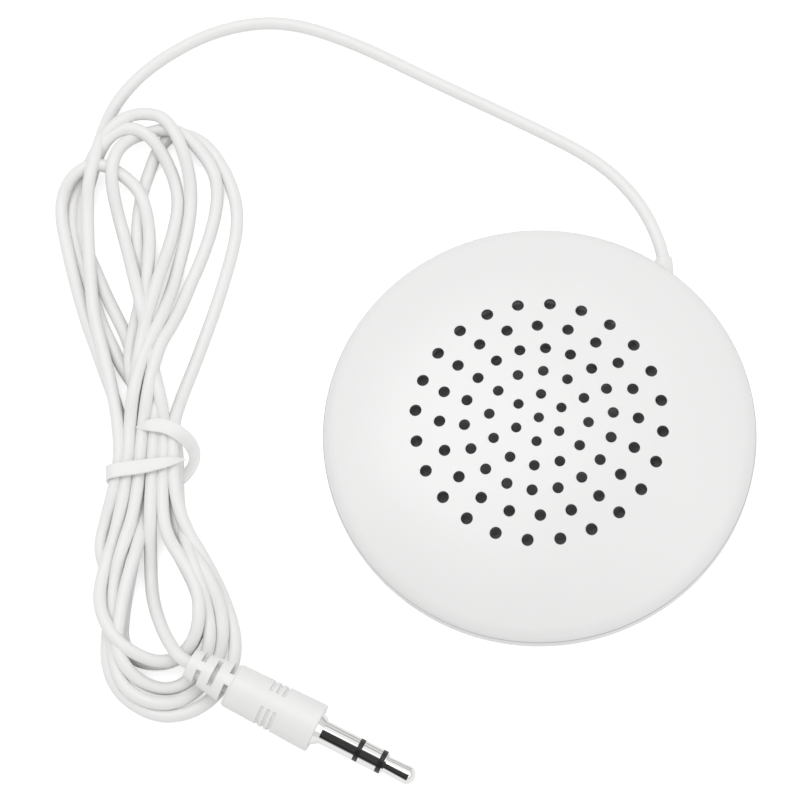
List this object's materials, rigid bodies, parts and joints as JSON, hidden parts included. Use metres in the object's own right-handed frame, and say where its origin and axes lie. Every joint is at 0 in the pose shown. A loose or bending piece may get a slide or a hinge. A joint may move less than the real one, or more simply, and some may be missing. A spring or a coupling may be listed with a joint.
{
  "type": "pillow speaker",
  "caption": "Flat round speaker with a perforated dome, for under a pillow, with a thin cord tied in a hank and a small stereo jack plug.",
  "frame": {"origin": "centre of the housing's flat back", "axes": "+Z out through the perforated dome, +Y towards the cord's exit, +X to the right of that"},
  "size_m": [0.1175, 0.1096, 0.0142],
  "materials": {
    "white_shell": "satin",
    "cord_white": "satin",
    "grip_white": "satin",
    "mould_white": "matte",
    "contact_nickel": "polished",
    "insulator_black": "satin",
    "screw_steel": "satin",
    "gasket_foam": "matte",
    "clear_film": "glossy",
    "copper_wire": "satin",
    "pressed_steel": "satin",
    "magnet_nickel": "bright",
    "board_green": "satin",
    "solder": "bright",
    "wire_red": "satin",
    "wire_black": "satin"
  },
  "bodies": {
    "root": {"front_shell": "white_shell", "rear_shell": "white_shell", "case_screws": "screw_steel", "driver_gasket": "gasket_foam", "driver_diaphragm": "clear_film", "driver_voice_coil": "copper_wire", "driver_basket": "pressed_steel", "driver_yoke": "pressed_steel", "driver_magnet": "magnet_nickel", "driver_pole_plate": "pressed_steel", "driver_terminal_board": "board_green", "solder_joints": "solder", "lead_positive": "wire_red", "lead_negative": "wire_black", "cord_inner_run": "cord_white", "cord_grommet": "cord_white", "cord_lead": "cord_white", "cord_hank": "cord_white", "cord_plug_end": "cord_white", "plug_grip": "grip_white", "plug_inner_mould": "mould_white", "plug_sleeve": "contact_nickel", "plug_insulator_rear": "insulator_black", "plug_ring_contact": "contact_nickel", "plug_insulator_front": "insulator_black", "plug_tip": "contact_nickel"}
  },
  "joints": []
}
